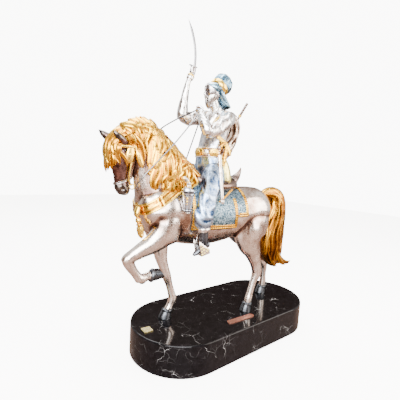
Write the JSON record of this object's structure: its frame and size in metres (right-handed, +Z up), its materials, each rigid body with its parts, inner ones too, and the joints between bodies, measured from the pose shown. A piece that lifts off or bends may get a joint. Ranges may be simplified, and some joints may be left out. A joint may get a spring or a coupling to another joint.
{
  "type": "equestrian statuette",
  "caption": "Silvered and gilt statuette of a horseman raising a sabre on a stepping horse, on a black marble plinth with rounded ends.",
  "frame": {"origin": "centre of the flat underside of the plinth", "axes": "+Z up, -X the way the horse faces, +Y the horse's right"},
  "size_m": [0.5018, 0.2, 0.6402],
  "materials": {
    "marble": "polished black marble with fine white veins",
    "copper": "brushed copper-coloured plate",
    "pale_gilt": "pale gilt plaque",
    "silvered_metal": "warm burnished silver plating",
    "gilt_metal": "bright gilding, darker in the hollows",
    "blue_enamel": "blue-grey satin enamel over metal",
    "dark_metal": "dark patinated metal"
  },
  "bodies": {
    "root": {"plinth": "marble", "name_plate": "copper", "corner_plaque": "pale_gilt", "horse": "silvered_metal", "bridle": "gilt_metal", "breast_collar": "gilt_metal", "saddle_cloth": "blue_enamel", "saddle": "dark_metal", "rider": "silvered_metal", "sabre": "silvered_metal", "rifle": "dark_metal", "scabbard": "silvered_metal", "dagger": "gilt_metal", "holster_left": "blue_enamel", "pistol_left": "silvered_metal", "stirrup_left": "silvered_metal", "holster_right": "blue_enamel", "pistol_right": "silvered_metal", "stirrup_right": "silvered_metal", "rein_near": "dark_metal", "rein_far": "dark_metal", "rein_end": "dark_metal"}
  },
  "joints": []
}
